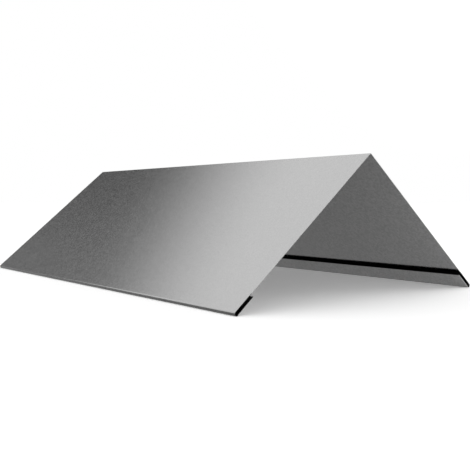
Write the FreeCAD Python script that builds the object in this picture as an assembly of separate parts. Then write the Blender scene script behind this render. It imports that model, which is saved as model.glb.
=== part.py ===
"""Flat roof ridge cap: one strip of galvanised sheet, folded along its middle into an upside-down V,
with both long edges turned under in an open hem.

Frame: +Y along the ridge, +X across the roof, +Z up. The origin lies on the floor that the two hem
folds stand on, midway along the ridge and directly below it.
"""

import FreeCAD
import Part

import math
import os

# Driving dimensions, in millimetres and degrees
LENGTH = 500.0  # along the ridge, end to end
FLANGE_WIDTH = 197.0  # down the outer face, from the sharp corner of the ridge to the tip of the fold
PITCH = 40.0  # slope of each flange below the horizontal
SHEET = 0.5  # thickness of the sheet
RIDGE_INNER_RADIUS = 0.5  # inside of the bend along the ridge
HEM_DEPTH = 22.0  # from the tip of the fold back to the free edge
HEM_GAP = 3.0  # clear space between the flange and the leg turned under it

# Sizes that follow from them
SLOPE = math.radians(PITCH)
RIDGE_OUTER_RADIUS = RIDGE_INNER_RADIUS + SHEET
HEM_THICKNESS = HEM_GAP + 2 * SHEET  # outer face of the flange to outer face of the turned leg
FOLD_RADIUS = HEM_THICKNESS / 2  # outside of the half-round fold

# Stations down the slope, measured on the outer face from the sharp corner of the ridge
BEND_END = RIDGE_OUTER_RADIUS * math.tan(SLOPE)
FOLD_START = FLANGE_WIDTH - FOLD_RADIUS
FREE_EDGE = FLANGE_WIDTH - HEM_DEPTH

# Height at which the outer faces would meet, with the folds standing on z = 0
CORNER_HEIGHT = FOLD_START * math.sin(SLOPE) + FOLD_RADIUS * (1 + math.cos(SLOPE))
BEND_CENTRE_HEIGHT = CORNER_HEIGHT - RIDGE_OUTER_RADIUS / math.cos(SLOPE)

LEFT, RIGHT = -1, 1


def point(side, down, inward):
    """A point of the section: down the slope of one side, and inward from its outer face."""
    across = down * math.cos(SLOPE) - inward * math.sin(SLOPE)
    drop = down * math.sin(SLOPE) + inward * math.cos(SLOPE)
    return FreeCAD.Vector(side * across, -LENGTH / 2, CORNER_HEIGHT - drop)


def line(start, end):
    return Part.LineSegment(start, end).toShape()


def arc(start, middle, end):
    return Part.Arc(start, middle, end).toShape()


def hem_and_flange(side, depth):
    """One side of the section at a depth into the sheet: turned leg, fold, then flange up to the bend."""
    leg_inward = HEM_THICKNESS - depth
    free_edge = point(side, FREE_EDGE, leg_inward)
    leg_end = point(side, FOLD_START, leg_inward)
    fold_tip = point(side, FLANGE_WIDTH - depth, FOLD_RADIUS)
    flange_foot = point(side, FOLD_START, depth)
    flange_top = point(side, BEND_END, depth)
    edges = [line(free_edge, leg_end), arc(leg_end, fold_tip, flange_foot), line(flange_foot, flange_top)]
    return free_edge, edges, flange_top


def skin(depth):
    """One face of the sheet seen in section, from the left free edge over the ridge to the right one."""
    left_free, left_edges, left_top = hem_and_flange(LEFT, depth)
    right_free, right_edges, right_top = hem_and_flange(RIGHT, depth)
    crown = FreeCAD.Vector(0, -LENGTH / 2, BEND_CENTRE_HEIGHT + RIDGE_OUTER_RADIUS - depth)
    return left_free, left_edges + [arc(left_top, crown, right_top)] + right_edges, right_free


def ridge_cap():
    """The folded sheet: its section between the two skins, drawn out along the ridge."""
    outer_left, outer_edges, outer_right = skin(0)
    inner_left, inner_edges, inner_right = skin(SHEET)
    cut_edges = [line(outer_left, inner_left), line(outer_right, inner_right)]
    outline = Part.Wire(Part.__sortEdges__(outer_edges + inner_edges + cut_edges))
    return Part.Face(outline).extrude(FreeCAD.Vector(0, LENGTH, 0))


os.makedirs("parts", exist_ok=True)
cap = ridge_cap()
cap.exportStep("parts/ridge_cap.step")

box = cap.BoundBox
print(f"ridge_cap: {cap.ShapeType}, valid {cap.isValid()}, {cap.Volume / 1000:.1f} cm3")
print(f"  {box.XLength:.2f} x {box.YLength:.2f} x {box.ZLength:.2f} mm, lowest point at z {box.ZMin:.4f}")
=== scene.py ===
"""The look of a flat roof ridge cap: one folded sheet of galvanised steel on a white studio floor.

Lengths are in metres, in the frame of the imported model: +Y along the ridge, +X across the roof, +Z up.
Near means towards -Y, and left towards -X. A place in the studio's dome is told by the direction to it
from the object: by the part of that direction along X or Y, or along Z, its height.
"""

import math

import bmesh
import bpy
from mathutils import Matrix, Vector


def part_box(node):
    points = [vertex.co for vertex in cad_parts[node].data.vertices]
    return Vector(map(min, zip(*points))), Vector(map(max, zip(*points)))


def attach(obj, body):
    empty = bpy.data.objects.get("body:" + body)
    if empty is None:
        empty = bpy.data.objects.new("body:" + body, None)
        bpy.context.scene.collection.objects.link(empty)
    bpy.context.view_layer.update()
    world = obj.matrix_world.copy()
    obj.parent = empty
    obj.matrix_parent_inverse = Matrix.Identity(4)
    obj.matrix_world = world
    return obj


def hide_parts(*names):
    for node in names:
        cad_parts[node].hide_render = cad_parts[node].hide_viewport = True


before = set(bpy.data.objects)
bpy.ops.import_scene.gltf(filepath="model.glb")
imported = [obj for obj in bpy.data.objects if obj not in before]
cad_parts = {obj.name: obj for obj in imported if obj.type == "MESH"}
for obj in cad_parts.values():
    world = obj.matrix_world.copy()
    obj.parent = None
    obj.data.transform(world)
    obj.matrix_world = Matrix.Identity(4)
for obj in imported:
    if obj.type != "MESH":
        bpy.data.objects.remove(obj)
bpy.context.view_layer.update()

# The sheet and its folds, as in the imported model
PITCH = math.radians(40)  # slope of each flange below the horizontal
SHEET = 0.0005  # thickness
RIDGE_INNER_RADIUS = 0.0005  # inside of the bend along the ridge
HEM_DEPTH = 0.022  # from the tip of the fold back to the free edge
HEM_GAP = 0.003  # clear space between the flange and the leg turned under it

# Sizes that follow from them
RIDGE_RADIUS = RIDGE_INNER_RADIUS + SHEET  # outside of that bend
FOLD_RADIUS = HEM_GAP / 2 + SHEET  # outside of the half-round fold
LEG = HEM_DEPTH - FOLD_RADIUS  # flat of the turned leg, from the fold to the free edge

# How finely the sheet is modelled
SUPPORT = 0.0004  # narrow flat strip beside each bend, which keeps the wide flats truly flat when shaded
FOLD_STEPS = 24
RIDGE_STEPS = 10
WELD = SHEET / 100  # points closer than this become one
EDGE_ROUNDING = 0.00008  # cut edges are dulled, not knife-sharp
EDGE_SEGMENTS = 2
EDGE_ANGLE = math.radians(60)  # turn past which an edge counts as cut
SMOOTH_ANGLE = math.radians(15)  # more than one step of a bend, less than the turn onto a rounded edge

# How the faces of the sheet are told apart
EDGE_NOTICE = 0.5  # part of a face's normal along the sheet past which it counts as a cut edge
NOSE_SHADE_TOP = 0.2  # upward part of a face's normal below which the nose of a fold gets painted shade
HEM_TOP = LEG + SHEET / 2  # distance up the slope from the middle of the fold past which the hem is over

# Slots of the sheet's materials
ZINC, UNDERSIDE_SHADE, NOSE_SHADE, HEM_SHADE, SHEARED, SLIT_AND_SHADE = range(6)

# Grain of the surfaces
CRYSTAL = 1.8  # millimetres: zinc crystals, drawn about twice as wide as real ones so that they show
ROLLED_WAVE = 1.5  # millimetres: waves that the rollers leave
ROLLED_RELIEF = 0.000001  # height of those waves
BLADE_TEAR = 0.4  # millimetres: tears that the blade leaves
TEAR_DETAIL = 3.0  # finer tears within them
TEAR_SPAN = (0.3, 0.7)  # stretch of the noise that is spread over the whole range of tones
MILLIMETRES_IN_METRE = 1000

# Camera of the photograph: a 470 x 470 pixel frame, not rolled, with its centre on the lens axis
CAMERA_PLACE = Vector((-0.47553, -0.66958, 0.08638))
CAMERA_AIM = Vector((0.0, -0.05698, 0.04995))
CAMERA_SENSOR = 36.0  # millimetres, as Blender states it
CAMERA_LENS = 54.51  # millimetres

# Floor of the studio
FLOOR_SIZE = 60.0
FLOOR_GLOW = 0.2  # lit a little from behind, which opens up the shadow under the cap

# Softbox overhead
SOFTBOX_LEAN = math.radians(15)  # it leans towards -X
SOFTBOX_EDGE = (0.442, 0.598)  # its soft lower edge, by height in the leaning dome
SOFTBOX_LEVELS = (0.91, 1.065)  # at its near and its far end
SOFTBOX_LENGTH = (-0.4, 0.5)  # where it goes from one to the other, by the part along Y
SOFTBOX_LEFT = (-0.15, -0.75)  # along this stretch of X, to the left, it grows weaker
SOFTBOX_LEFT_LEVEL = 0.8
SOFTBOX_RIGHT = (0.25, 0.8)  # and along this one, to the right, stronger
SOFTBOX_RIGHT_LEVEL = 1.3
LEFT_SPAN = (-0.1, -1.0)  # along this stretch of X, to the left, it reaches lower and lower
LEFT_REACH = 0.5  # by up to this much height
RIGHT_SPAN = (0.35, 1.0)  # and along this one, to the right
RIGHT_REACH = 0.9
NEAR_CUT = 0.2  # over the near end it stops higher, by this much
NEAR_CUT_ENDS = (-0.3, -0.6)  # where that starts and where it is complete, by the part along Y
NEAR_CUT_SIDES = (0.2, 0.5)  # where it fades out on both sides, by the part along X

# Below the softbox
WHITE = 1.0
FAR_SIDE = (-0.2, 0.2)  # where the grey near side goes over into the far side, by the part along Y
NEAR_LEVEL = 0.25  # brightness of that near side
WALL_WIDTH = (-0.05, 0.15)  # shaded stretch of the dark wall on the far side, by the part along X
WALL_LEVELS = (0.195, 0.08)  # left and right of that stretch
BACKDROP_TOP = (0.27, 0.40)  # soft top of the white backdrop before that wall, by height
PANEL_AZIMUTH = math.radians(16)  # right edge of a dark panel that hides the backdrop, from +Y towards +X
PANEL_EDGE = (0.0, 0.05)  # how soft that edge is, by the part square to it
FOOT_TOP = (0.06, 0.10)  # soft top of the white foot that runs all round, by height


def linear(hex_colour):
    """An sRGB hex colour as linear RGBA."""
    channels = [int(hex_colour[i:i + 2], 16) / 255 for i in (1, 3, 5)]
    return [c / 12.92 if c <= 0.04045 else ((c + 0.055) / 1.055) ** 2.4 for c in channels] + [1.0]


def add_node(tree, kind, inputs=None, **settings):
    """Adds a node with its settings. Each input takes a value, or a link from another node's output."""
    node = tree.nodes.new(kind)
    for name, value in settings.items():
        setattr(node, name, value)
    for name, source in (inputs or {}).items():
        if isinstance(source, bpy.types.NodeSocket):
            tree.links.new(source, node.inputs[name])
        else:
            node.inputs[name].default_value = source
    return node


def new_material(name):
    """A material with an empty node tree, and that tree."""
    material = bpy.data.materials.new(name)
    material.use_nodes = True
    material.node_tree.nodes.clear()
    return material, material.node_tree


def per_metre(millimetres):
    """Texture scale at which one grain of a pattern is this wide."""
    return MILLIMETRES_IN_METRE / millimetres


# Materials


def zinc_coat(name, tones, glosses, film=0.0):
    """Zinc on steel. Its crystals vary between two tones (hex) and two glosses (roughness) together.

    A milky film, where there is one, covers up to this share of a crystal and scatters the light.
    """
    material, tree = new_material(name)
    place = add_node(tree, "ShaderNodeTexCoord").outputs["Object"]
    crystals = add_node(tree, "ShaderNodeTexVoronoi", {"Vector": place, "Scale": per_metre(CRYSTAL)})
    kind = add_node(tree, "ShaderNodeSeparateColor", {"Color": crystals.outputs["Color"]}).outputs["Red"]
    tone = add_node(tree, "ShaderNodeValToRGB", {"Fac": kind})
    tone.color_ramp.elements[0].color = linear(tones[0])
    tone.color_ramp.elements[1].color = linear(tones[1])
    gloss = add_node(
        tree, "ShaderNodeMapRange", {"Value": kind, "To Min": glosses[0], "To Max": glosses[1]}
    )
    metallic = 1.0
    if film:
        bare = add_node(tree, "ShaderNodeMapRange", {"Value": kind, "To Min": 1.0, "To Max": 1.0 - film})
        metallic = bare.outputs["Result"]
    waves = add_node(tree, "ShaderNodeTexNoise", {"Vector": place, "Scale": per_metre(ROLLED_WAVE)})
    relief = add_node(
        tree, "ShaderNodeBump", {"Height": waves.outputs["Fac"], "Distance": ROLLED_RELIEF}
    )
    shader = add_node(
        tree,
        "ShaderNodeBsdfPrincipled",
        {
            "Metallic": metallic,
            "Base Color": tone.outputs["Color"],
            "Roughness": gloss.outputs["Result"],
            "Normal": relief.outputs["Normal"],
        },
    )
    add_node(tree, "ShaderNodeOutputMaterial", {"Surface": shader.outputs["BSDF"]})
    return material


def galvanised_steel():
    """Steel dipped in zinc, skin-passed between smooth rollers, then passivated.

    The rollers leave a flat satin mirror. The crystals of the zinc take the passivation unevenly, and
    its milky film scatters light, so a fine grain shows where the sheet mirrors something dark, and
    fades where it mirrors something bright.
    """
    return zinc_coat("galvanised_steel_passivated", ("#B7B7B7", "#BBBBBB"), (0.14, 0.12), film=0.23)


def underside_painted_shade_zinc():
    """The coat without that film, in darker tones: painted shade inside the cap and on the legs.

    Its darker tone is painted shade, so it mirrors dimly. Its crystals differ in tone, which gives a
    faint grain.
    """
    return zinc_coat("galvanised_steel_underside_painted_shade", ("#9A9A9A", "#AEAEAE"), (0.09, 0.19))


def fold_nose_painted_shade_zinc():
    """The coat on the nose of a fold, where it faces the floor: painted shade, darker and duller."""
    return zinc_coat("galvanised_steel_fold_nose_painted_shade", ("#525252", "#646464"), (0.26, 0.40))


def hem_painted_shade_zinc():
    """The coat inside the hems: painted shade, dull and near black.

    The painted shade covers the ends of the folds as well.
    """
    return zinc_coat("galvanised_steel_hem_painted_shade", ("#1C1C1C", "#2A2A2A"), (0.45, 0.60))


def bare_edge(name, tones, glosses):
    """Steel without zinc, torn by the blade: its tears vary between two tones (hex) and two glosses."""
    material, tree = new_material(name)
    place = add_node(tree, "ShaderNodeTexCoord").outputs["Object"]
    tears = add_node(
        tree,
        "ShaderNodeTexNoise",
        {"Vector": place, "Scale": per_metre(BLADE_TEAR), "Detail": TEAR_DETAIL},
    )
    tear = add_node(
        tree,
        "ShaderNodeMapRange",
        {"Value": tears.outputs["Fac"], "From Min": TEAR_SPAN[0], "From Max": TEAR_SPAN[1]},
    ).outputs["Result"]
    tone = add_node(tree, "ShaderNodeValToRGB", {"Fac": tear})
    tone.color_ramp.elements[0].color = linear(tones[0])
    tone.color_ramp.elements[1].color = linear(tones[1])
    gloss = add_node(
        tree, "ShaderNodeMapRange", {"Value": tear, "To Min": glosses[0], "To Max": glosses[1]}
    )
    shader = add_node(
        tree,
        "ShaderNodeBsdfPrincipled",
        {"Metallic": 1.0, "Base Color": tone.outputs["Color"], "Roughness": gloss.outputs["Result"]},
    )
    add_node(tree, "ShaderNodeOutputMaterial", {"Surface": shader.outputs["BSDF"]})
    return material


def sheared_steel():
    """The ends of the cap, cut to length with a shear: fresh steel, a bright thin line."""
    return bare_edge("bare_steel_fresh_sheared", ("#B4B4B4", "#CCCCCC"), (0.32, 0.50))


def slit_edge_oxide_and_shade():
    """The long free edges, slit long before at the mill: dull dark grey, partly oxide, partly painted
    shade that widens the black band at the mouth of the hem.
    """
    return bare_edge("bare_steel_old_slit_and_painted_shade", ("#3C3C3C", "#545454"), (0.45, 0.65))


def white_floor():
    """Matt white acrylic, lit a little from behind: an even white that keeps a soft, open shadow."""
    material, tree = new_material("opal_acrylic_matt")
    matt = add_node(tree, "ShaderNodeBsdfDiffuse", {"Color": linear("#FCFCFC")})
    glow = add_node(tree, "ShaderNodeEmission", {"Strength": FLOOR_GLOW})
    both = add_node(tree, "ShaderNodeAddShader", {0: matt.outputs["BSDF"], 1: glow.outputs["Emission"]})
    add_node(tree, "ShaderNodeOutputMaterial", {"Surface": both.outputs["Shader"]})
    return material


# The folded sheet


def slope_vector(angle):
    """Unit step in the section, at an angle up from +X."""
    return Vector((math.cos(angle), 0.0, math.sin(angle)))


class SheetFolder:
    """Lays out the outer skin of the sheet by extruding and spinning its leading edge."""

    def __init__(self, place, heading):
        self.place = place
        self.heading = heading

    def run(self, distance):
        """Draws the edge straight on, which leaves a flat strip behind it."""
        step = slope_vector(self.heading) * distance
        bpy.ops.mesh.extrude_region_move(TRANSFORM_OT_translate={"value": step})
        self.place = self.place + step

    def bend(self, angle, radius, steps):
        """Turns the edge clockwise, seen along +Y, about a centre on its right. Spin is left-handed."""
        centre = self.place + slope_vector(self.heading - math.pi / 2) * radius
        bpy.ops.mesh.spin(steps=steps, angle=angle, center=centre, axis=(0, -1, 0))
        self.heading -= angle
        self.place = centre + slope_vector(self.heading + math.pi / 2) * radius


def folded_skin(low, high):
    """The cap's outer skin, folded from one strip: left leg, left flange, right flange, right leg."""
    # The tips of the folds stand as wide apart as the box, and the ridge takes its bend off each flange.
    fold_across = FOLD_RADIUS * (1 - math.sin(PITCH))
    bend_across = RIDGE_RADIUS * math.sin(PITCH)
    flange_flat = (high.x - fold_across - bend_across) / math.cos(PITCH)
    hem_run = LEG - SUPPORT
    # Flat strips of a flange from its fold up: the second one ends above the free edge of the leg.
    flange_runs = (SUPPORT, hem_run, flange_flat - LEG - SUPPORT, SUPPORT)
    fold_centre = Vector((low.x + FOLD_RADIUS, 0.0, low.z + FOLD_RADIUS))
    leg_end = fold_centre + slope_vector(-math.pi / 2 + PITCH) * FOLD_RADIUS
    heading = math.pi + PITCH

    bpy.ops.object.select_all(action="DESELECT")
    bpy.ops.mesh.primitive_plane_add(size=1.0)
    sheet = bpy.context.object
    sheet.name = "ridge_cap_sheet"
    sheet.scale = (hem_run, high.y - low.y, 1.0)
    sheet.rotation_euler = (0.0, -PITCH, 0.0)
    sheet.location = leg_end - slope_vector(heading) * (SUPPORT + hem_run / 2)
    bpy.ops.object.transform_apply(location=True, rotation=True, scale=True)

    bpy.ops.object.mode_set(mode="EDIT")
    bpy.ops.mesh.select_mode(type="EDGE")
    select_leading_edge(sheet)
    folder = SheetFolder(leg_end - slope_vector(heading) * SUPPORT, heading)
    folder.run(SUPPORT)
    folder.bend(math.pi, FOLD_RADIUS, FOLD_STEPS)
    for distance in flange_runs:
        folder.run(distance)
    folder.bend(2 * PITCH, RIDGE_RADIUS, RIDGE_STEPS)
    for distance in reversed(flange_runs):
        folder.run(distance)
    folder.bend(math.pi, FOLD_RADIUS, FOLD_STEPS)
    folder.run(SUPPORT)
    folder.run(hem_run)
    bpy.ops.mesh.select_all(action="SELECT")
    bpy.ops.mesh.remove_doubles(threshold=WELD)
    bpy.ops.mesh.normals_make_consistent(inside=False)
    bpy.ops.object.mode_set(mode="OBJECT")
    return sheet


def select_leading_edge(sheet):
    """Selects the edge of the first leg that lies nearest the floor."""
    bpy.ops.mesh.select_all(action="DESELECT")
    skin = bmesh.from_edit_mesh(sheet.data)
    lowest = min(vertex.co.z for vertex in skin.verts)
    for edge in skin.edges:
        edge.select_set(all(vertex.co.z < lowest + SHEET for vertex in edge.verts))
    bmesh.update_edit_mesh(sheet.data)


def face_outwards(sheet):
    """Turns the skin over if its ridge faces the floor."""
    crown = max(sheet.data.polygons, key=lambda face: face.center.z)
    if crown.normal.z < 0:
        sheet.data.flip_normals()


def apply_modifier(piece, kind, **settings):
    """Adds a modifier with its settings and applies it."""
    modifier = piece.modifiers.new(kind.title(), kind)
    for name, value in settings.items():
        setattr(modifier, name, value)
    bpy.ops.object.modifier_apply(modifier=modifier.name)


def thicken(sheet):
    """Gives the skin its thickness inwards and rounds its cut edges."""
    apply_modifier(sheet, "SOLIDIFY", thickness=SHEET, offset=-1.0, use_even_offset=True)
    apply_modifier(
        sheet,
        "BEVEL",
        width=EDGE_ROUNDING,
        segments=EDGE_SEGMENTS,
        limit_method="ANGLE",
        angle_limit=EDGE_ANGLE,
    )
    bpy.ops.object.shade_smooth_by_angle(angle=SMOOTH_ANGLE)


def finish_at(face, low, high):
    """Material slot of a face, told by its place about the fold of its side and by the way it looks."""
    side = math.copysign(1.0, face.center.x)
    up_slope = Vector((-side * math.cos(PITCH), 0.0, math.sin(PITCH)))
    fold_centre = Vector((side * (high.x - FOLD_RADIUS), face.center.y, low.z + FOLD_RADIUS))
    from_fold = face.center - fold_centre
    along = from_fold.dot(up_slope)
    outward = from_fold - up_slope * max(along, 0.0)
    look = face.normal
    above_hem = along > HEM_TOP
    on_leg = along > 0 and outward.z < 0
    on_inner_skin = look.dot(outward) < -SHEET

    if abs(look.y) > EDGE_NOTICE:
        # Painted shade covers the ends of the fold and of the flange over the hem, but not the leg's end.
        return SHEARED if above_hem or on_leg else HEM_SHADE
    if above_hem:
        # inside the cap the darker underside coat is painted shade
        return UNDERSIDE_SHADE if on_inner_skin else ZINC
    if on_inner_skin:
        # inside the hem the gap gets painted shade, near black
        return HEM_SHADE
    if along < 0:
        # the half of the nose that faces the floor gets painted shade
        return NOSE_SHADE if look.z < NOSE_SHADE_TOP else ZINC
    # the free edge of a leg: dark grey, partly oxide, partly painted shade
    if look.dot(up_slope) > EDGE_NOTICE:
        return SLIT_AND_SHADE
    # the outside of a leg faces the floor and gets the darker underside coat: painted shade
    return UNDERSIDE_SHADE if on_leg else ZINC


def coat(sheet, low, high):
    """Lays the materials on the sheet, in the order of their slots."""
    for finish in (galvanised_steel, underside_painted_shade_zinc, fold_nose_painted_shade_zinc, hem_painted_shade_zinc, sheared_steel, slit_edge_oxide_and_shade):
        sheet.data.materials.append(finish())
    for face in sheet.data.polygons:
        face.material_index = finish_at(face, low, high)


# Floor, light and camera


def studio_floor():
    """The floor that the cap stands on, wide enough to reach the horizon."""
    bpy.ops.object.select_all(action="DESELECT")
    bpy.ops.mesh.primitive_plane_add(size=FLOOR_SIZE)
    floor = bpy.context.object
    floor.name = "studio_floor"
    floor.data.materials.append(white_floor())
    return floor


def surround_level(tree, direction, part):
    """Brightness below the softbox: grey on the near side, a dark wall on the far side.

    A white backdrop stands before the wall, and a dark panel hides its left part.
    """
    wall = add_node(
        tree,
        "ShaderNodeMapRange",
        {
            "Value": part["X"],
            "From Min": WALL_WIDTH[0],
            "From Max": WALL_WIDTH[1],
            "To Min": WALL_LEVELS[0],
            "To Max": WALL_LEVELS[1],
        },
        interpolation_type="SMOOTHSTEP",
    ).outputs["Result"]
    backdrop = add_node(
        tree,
        "ShaderNodeMapRange",
        {
            "Value": part["Z"],
            "From Min": BACKDROP_TOP[0],
            "From Max": BACKDROP_TOP[1],
            "To Min": WHITE,
            "To Max": wall,
        },
        interpolation_type="SMOOTHSTEP",
    ).outputs["Result"]
    panel_right = (math.cos(PANEL_AZIMUTH), -math.sin(PANEL_AZIMUTH), 0.0)
    past_panel = add_node(
        tree, "ShaderNodeVectorMath", {0: direction, 1: panel_right}, operation="DOT_PRODUCT"
    ).outputs["Value"]
    far = add_node(
        tree,
        "ShaderNodeMapRange",
        {
            "Value": past_panel,
            "From Min": PANEL_EDGE[0],
            "From Max": PANEL_EDGE[1],
            "To Min": wall,
            "To Max": backdrop,
        },
        interpolation_type="SMOOTHSTEP",
    ).outputs["Result"]
    return add_node(
        tree,
        "ShaderNodeMapRange",
        {
            "Value": part["Y"],
            "From Min": FAR_SIDE[0],
            "From Max": FAR_SIDE[1],
            "To Min": NEAR_LEVEL,
            "To Max": far,
        },
        interpolation_type="SMOOTHSTEP",
    ).outputs["Result"]


def softbox_height(tree, direction, part):
    """Height in the leaning dome that decides where the softbox ends.

    It counts as higher at the sides, where the softbox reaches lower, and as lower over the near end.
    """
    lean_up = (-math.sin(SOFTBOX_LEAN), 0.0, math.cos(SOFTBOX_LEAN))
    height = add_node(
        tree, "ShaderNodeVectorMath", {0: direction, 1: lean_up}, operation="DOT_PRODUCT"
    ).outputs["Value"]
    left_reach = add_node(
        tree,
        "ShaderNodeMapRange",
        {"Value": part["X"], "From Min": LEFT_SPAN[0], "From Max": LEFT_SPAN[1], "To Max": LEFT_REACH},
    ).outputs["Result"]
    right_reach = add_node(
        tree,
        "ShaderNodeMapRange",
        {"Value": part["X"], "From Min": RIGHT_SPAN[0], "From Max": RIGHT_SPAN[1], "To Max": RIGHT_REACH},
    ).outputs["Result"]
    side_reach = add_node(
        tree, "ShaderNodeMath", {0: left_reach, 1: right_reach}, operation="ADD"
    ).outputs["Value"]
    lowered = add_node(
        tree, "ShaderNodeMath", {0: height, 1: side_reach}, operation="ADD"
    ).outputs["Value"]
    width = add_node(tree, "ShaderNodeMath", {0: part["X"]}, operation="ABSOLUTE").outputs["Value"]
    middle_cut = add_node(
        tree,
        "ShaderNodeMapRange",
        {
            "Value": width,
            "From Min": NEAR_CUT_SIDES[0],
            "From Max": NEAR_CUT_SIDES[1],
            "To Min": NEAR_CUT,
            "To Max": 0.0,
        },
        interpolation_type="SMOOTHSTEP",
    ).outputs["Result"]
    near_cut = add_node(
        tree,
        "ShaderNodeMapRange",
        {
            "Value": part["Y"],
            "From Min": NEAR_CUT_ENDS[0],
            "From Max": NEAR_CUT_ENDS[1],
            "To Min": 0.0,
            "To Max": middle_cut,
        },
        interpolation_type="SMOOTHSTEP",
    ).outputs["Result"]
    return add_node(
        tree, "ShaderNodeMath", {0: lowered, 1: near_cut}, operation="SUBTRACT"
    ).outputs["Value"]


def softbox_level(tree, part):
    """Brightness of the softbox: it grows towards the far end and the right, and fades to the left."""
    middle = add_node(
        tree,
        "ShaderNodeMapRange",
        {
            "Value": part["Y"],
            "From Min": SOFTBOX_LENGTH[0],
            "From Max": SOFTBOX_LENGTH[1],
            "To Min": SOFTBOX_LEVELS[0],
            "To Max": SOFTBOX_LEVELS[1],
        },
        interpolation_type="SMOOTHSTEP",
    ).outputs["Result"]
    with_left = add_node(
        tree,
        "ShaderNodeMapRange",
        {
            "Value": part["X"],
            "From Min": SOFTBOX_LEFT[0],
            "From Max": SOFTBOX_LEFT[1],
            "To Min": middle,
            "To Max": SOFTBOX_LEFT_LEVEL,
        },
    ).outputs["Result"]
    return add_node(
        tree,
        "ShaderNodeMapRange",
        {
            "Value": part["X"],
            "From Min": SOFTBOX_RIGHT[0],
            "From Max": SOFTBOX_RIGHT[1],
            "To Min": with_left,
            "To Max": SOFTBOX_RIGHT_LEVEL,
        },
    ).outputs["Result"]


def studio_dome():
    """World light: a softbox overhead, its surround below it, and a white foot all round."""
    world = bpy.data.worlds.new("studio_dome")
    bpy.context.scene.world = world
    world.use_nodes = True
    tree = world.node_tree
    tree.nodes.clear()
    direction = add_node(tree, "ShaderNodeTexCoord").outputs["Generated"]
    part = add_node(tree, "ShaderNodeSeparateXYZ", {"Vector": direction}).outputs
    dome = add_node(
        tree,
        "ShaderNodeMapRange",
        {
            "Value": softbox_height(tree, direction, part),
            "From Min": SOFTBOX_EDGE[0],
            "From Max": SOFTBOX_EDGE[1],
            "To Min": surround_level(tree, direction, part),
            "To Max": softbox_level(tree, part),
        },
        interpolation_type="SMOOTHSTEP",
    ).outputs["Result"]
    studio = add_node(
        tree,
        "ShaderNodeMapRange",
        {
            "Value": part["Z"],
            "From Min": FOOT_TOP[0],
            "From Max": FOOT_TOP[1],
            "To Min": WHITE,
            "To Max": dome,
        },
        interpolation_type="SMOOTHSTEP",
    ).outputs["Result"]
    light = add_node(tree, "ShaderNodeBackground", {"Color": studio})
    add_node(tree, "ShaderNodeOutputWorld", {"Surface": light.outputs["Background"]})


def photograph_camera():
    """The camera that the photograph was taken with."""
    camera = bpy.data.objects.new("camera", bpy.data.cameras.new("camera"))
    bpy.context.scene.collection.objects.link(camera)
    camera.location = CAMERA_PLACE
    camera.rotation_euler = (CAMERA_AIM - CAMERA_PLACE).to_track_quat("-Z", "Y").to_euler()
    camera.data.sensor_width = CAMERA_SENSOR
    camera.data.lens = CAMERA_LENS
    bpy.context.scene.camera = camera


# The scene

low_corner, high_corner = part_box("ridge_cap")
cap = folded_skin(low_corner, high_corner)
face_outwards(cap)
thicken(cap)
coat(cap, low_corner, high_corner)
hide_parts("ridge_cap")
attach(cap, "root")

studio_floor()
studio_dome()
photograph_camera()
bpy.context.scene.view_settings.view_transform = "Standard"
